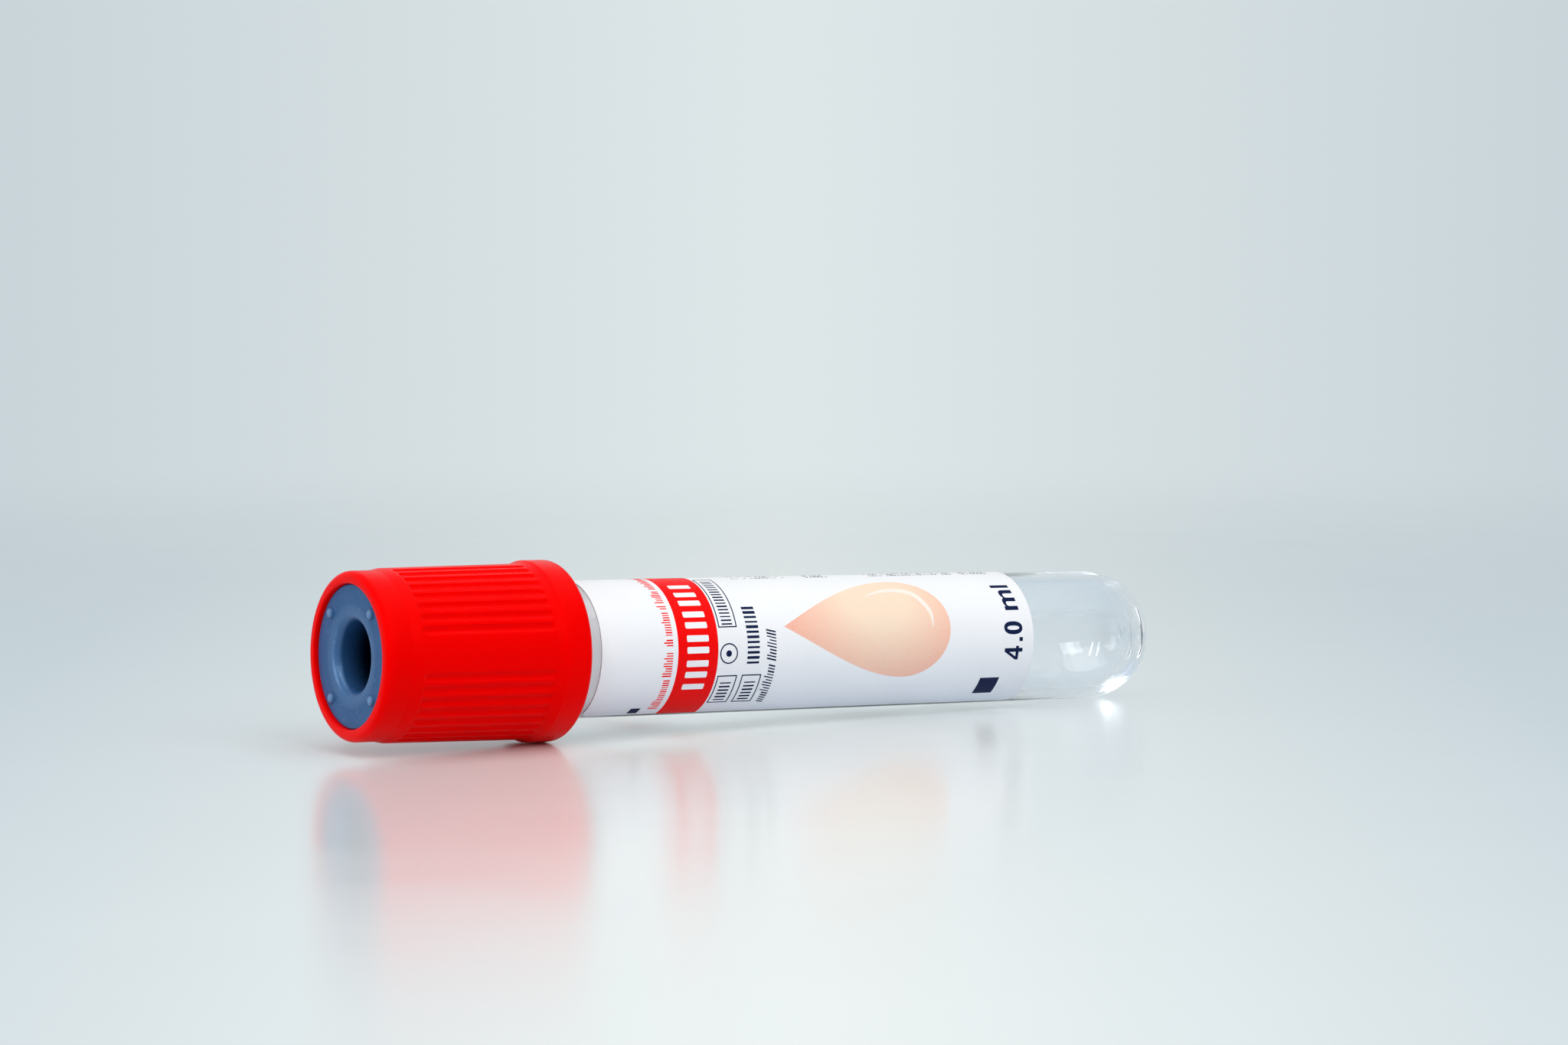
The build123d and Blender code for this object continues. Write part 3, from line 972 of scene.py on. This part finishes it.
def dropOutline(values):
    station, turn = values["centre"]
    tipStation, tipTurn = values["tip"]
    size = values["radius"]
    steps = 28
    outline = [(station + size * sin(radians(a)), turn + degreesPerMm * size * cos(radians(a)))
               for a in range(0, 181, 4)]
    side = [Vector((0, 0)), Vector(values["tipPull"]), Vector(values["sidePull"]),
            Vector((station - tipStation, size))]
    flank = []
    for k in range(1, steps):
        u = k / steps
        point = ((1 - u) ** 3 * side[0] + 3 * u * (1 - u) ** 2 * side[1]
                 + 3 * u * u * (1 - u) * side[2] + u ** 3 * side[3])
        flank.append((tipStation + point.x, degreesPerMm * point.y, tipTurn + (turn - tipTurn) * u))
    outline += [(s, middle - width) for s, width, middle in reversed(flank)]
    outline.append((tipStation, tipTurn))
    outline += [(s, middle + width) for s, width, middle in flank]
    return outline


# the pale glint inside the drop: thickest in the middle, a point at each end
def crescentOutline(values):
    station, turn = values["centre"]
    steps = 6
    guide = [Vector(p) for p in values["glint"]]
    line = []
    for i in range(len(guide) - 1):
        before = guide[max(i - 1, 0)]
        after = guide[min(i + 2, len(guide) - 1)]
        for k in range(steps):
            u = k / steps
            a, b, c, d = before, guide[i], guide[i + 1], after
            line.append(0.5 * ((2 * b) + (c - a) * u + (2 * a - 5 * b + 4 * c - d) * u * u
                               + (3 * b - a - 3 * c + d) * u * u * u))
    line.append(guide[-1])
    outer = []
    inner = []
    for i, point in enumerate(line):
        before = line[max(i - 1, 0)]
        after = line[min(i + 1, len(line) - 1)]
        direction = (after - before).normalized()
        side = Vector((-direction.y, direction.x))
        half = values["glintHalf"] * sin(pi * i / (len(line) - 1)) ** 0.7 + values["glintEnd"]
        outer.append(point + side * half)
        inner.append(point - side * half)
    return [(station + p.x, turn + degreesPerMm * p.y) for p in outer + inner[::-1]]


def makePrint(values):
    redInk = printInk("redInk")
    navyInk = printInk("navyInk")
    margin = values["bandMargin"]
    band = box(*values["band"], label["firstEdge"] + margin, label["lastEdge"] - margin)
    inkPiece("redBand", [sheetFrom([band])], redInk)
    word = values["wordBars"]
    near, far = word["stations"]
    low, high = word["turns"]
    pitch = (high - low) / word["count"]
    bars = []
    for k in range(word["count"]):
        start = low + pitch * k + word["gap"] / 2
        end = low + pitch * (k + 1) - word["gap"] / 2
        bars.append(sheetFrom([roundedBox(near, far, start, start + word["bar"])]))
        bars.append(sheetFrom([roundedBox(near, far, end - word["bar"], end)]))
    inkPiece("bandBars", bars, printInk("whiteInk"), layer=1)
    navy = [frameSheet(*edges, values["frameLine"]) for edges in values["frames"]]
    ring = values["ring"]
    centre = (ring["station"], ring["turn"])
    navy.append(sheetFrom([circle(*centre, ring["radius"]),
                           circle(*centre, ring["radius"] - ring["line"])]))
    navy.append(sheetFrom([circle(*centre, ring["dot"], count=24)]))
    navy.append(sheetFrom([values["mark"]]))
    navy.append(sheetFrom([values["block"]]))
    navy += volumeSheets(values["volume"])
    inkPiece("navyPrint", navy, navyInk)
    inkPiece("peachDrop", [sheetFrom([dropOutline(drop)])], dropInk(drop))
    inkPiece("dropGlint", [sheetFrom([crescentOutline(drop)])], printInk("glintInk"), layer=1)
    strokePiece("redStrokes", [aroundTube(row) for row in redRows], strokeTree(redInk), redInk)
    navyStrokes = [aroundTube(row) for row in navyRows] + [alongTubeRow(row) for row in dotRows]
    strokePiece("navyStrokes", navyStrokes, strokeTree(navyInk), navyInk)


makePrint(ink)


studio = {
    "floorRadius": 1.6,   # metres, as all the lengths here
    # the floor is painted darker to either side of the camera's line of view: painted shade
    "floorMiddle": (0.83, 0.86, 0.845, 1),
    "floorSide": (0.575, 0.66, 0.70, 1),
    "floorBounce": (0.54, 0.60, 0.68, 1),
    "sideStart": 0.005,   # how far to the side the floor's painted shade begins
    "sideEnd": 0.075,
    "fadeStart": 0.085,   # how far out the floor begins to give way to the backdrop
    "fadeEnd": 0.38,
    "backdropMiddle": (0.73, 0.80, 0.81, 1),
    "backdropSide": (0.585, 0.66, 0.70, 1),
    "backdropWidth": 0.18,
    "ceiling": (0.60, 0.71, 0.86, 1),
    "ceilingHeights": (0.45, 0.9),  # of the look upwards
    "fill": (0.87, 0.94, 1.0, 1),
    "fillStrength": 0.26,
}

lamps = {  # place and aim in metres, width and height, power, colour
    "topSoftbox": ((-0.08, -0.20, 0.62), (0, 0, 0), (0.9, 0.9), 3.4, (1.0, 0.99, 0.975)),
    "frontSoftbox": ((0.05, -0.60, 0.42), (0, 0, 0.01), (0.45, 0.35), 1.5, (1, 1, 1)),
    "leftStrip": ((-0.49, -0.27, 0.45), (-0.04, 0, 0.01), (0.05, 0.42), 0.6, (1, 1, 1)),
    "leftCard": ((-0.62, 0.16, 0.20), (-0.04, 0, 0.01), (0.40, 0.30), 1.1, (1, 1, 1)),
}


def makeWorld(values):
    world = bpy.data.worlds.new("studioAir")
    bpy.context.scene.world = world
    world.use_nodes = True
    tree = world.node_tree
    tree.nodes.clear()
    path = addNode(tree, "ShaderNodeLightPath")
    seen = calc(tree, "MAXIMUM", path.outputs["Is Camera Ray"],
                calc(tree, "MAXIMUM", path.outputs["Is Glossy Ray"], path.outputs["Is Transmission Ray"]))
    towards = addNode(tree, "ShaderNodeTexCoord").outputs["Generated"]
    share = spread(tree, offCamera(tree, towards), 0.0, 1.0, 0.0, values["backdropWidth"])
    wide = blendColours(tree, share, values["backdropMiddle"], values["backdropSide"])
    height = addNode(tree, "ShaderNodeSeparateXYZ", Vector=towards).outputs["Z"]
    upward = spread(tree, height, 0.0, 1.0, *values["ceilingHeights"])
    wide = blendColours(tree, upward, wide, values["ceiling"])
    fill = addNode(tree, "ShaderNodeBackground", Color=values["fill"], Strength=values["fillStrength"])
    backdrop = addNode(tree, "ShaderNodeBackground", Color=wide, Strength=1.0)
    mix = mixShaders(tree, seen, fill, backdrop)
    end = tree.nodes.new("ShaderNodeOutputWorld")
    tree.links.new(mix.outputs[0], end.inputs[0])


def makeFloor(values):
    shape = bmesh.new()
    bmesh.ops.create_circle(shape, cap_ends=True, radius=values["floorRadius"], segments=96)
    material, tree, surface = newMaterial("studioFloor", Roughness=0.2, Specular_IOR_Level=0.9)
    place = addNode(tree, "ShaderNodeTexCoord").outputs["Object"]
    # painted shade, darker to either side of the camera's line of view
    side = spread(tree, offCamera(tree, place), 0.0, 1.0, values["sideStart"], values["sideEnd"])
    colour = blendColours(tree, side, values["floorMiddle"], values["floorSide"])
    bounced = addNode(tree, "ShaderNodeLightPath").outputs["Is Diffuse Ray"]
    colour = blendColours(tree, bounced, colour, values["floorBounce"])
    tree.links.new(colour, surface.inputs["Base Color"])
    mottle = grain(tree, place, 35.0, 2.0)
    tree.links.new(spread(tree, mottle, 0.18, 0.22), surface.inputs["Roughness"])
    away = addNode(tree, "ShaderNodeVectorMath", {"operation": "LENGTH"})
    tree.links.new(place, away.inputs[0])
    fade = addNode(tree, "ShaderNodeMapRange", {"interpolation_type": "SMOOTHSTEP"},
                   Value=away.outputs["Value"])
    fade.inputs["From Min"].default_value = values["fadeStart"]
    fade.inputs["From Max"].default_value = values["fadeEnd"]
    gone = addNode(tree, "ShaderNodeBsdfTransparent")
    mix = mixShaders(tree, fade.outputs["Result"], surface, gone)
    tree.links.new(mix.outputs[0], tree.nodes["Material Output"].inputs["Surface"])
    floor = finishMesh("studioFloor", shape, material)


def addLamp(name, place, aim, size, power, colour):
    data = bpy.data.lights.new(name, "AREA")
    data.shape = "RECTANGLE"
    data.size, data.size_y = size
    data.energy = power
    data.color = colour
    lamp = bpy.data.objects.new(name, data)
    lamp.location = place
    lamp.rotation_euler = (Vector(aim) - Vector(place)).to_track_quat("-Z", "Y").to_euler()
    bpy.context.scene.collection.objects.link(lamp)


makeWorld(studio)
makeFloor(studio)
for lampName, lampValues in lamps.items():
    addLamp(lampName, *lampValues)
print("studio ready")
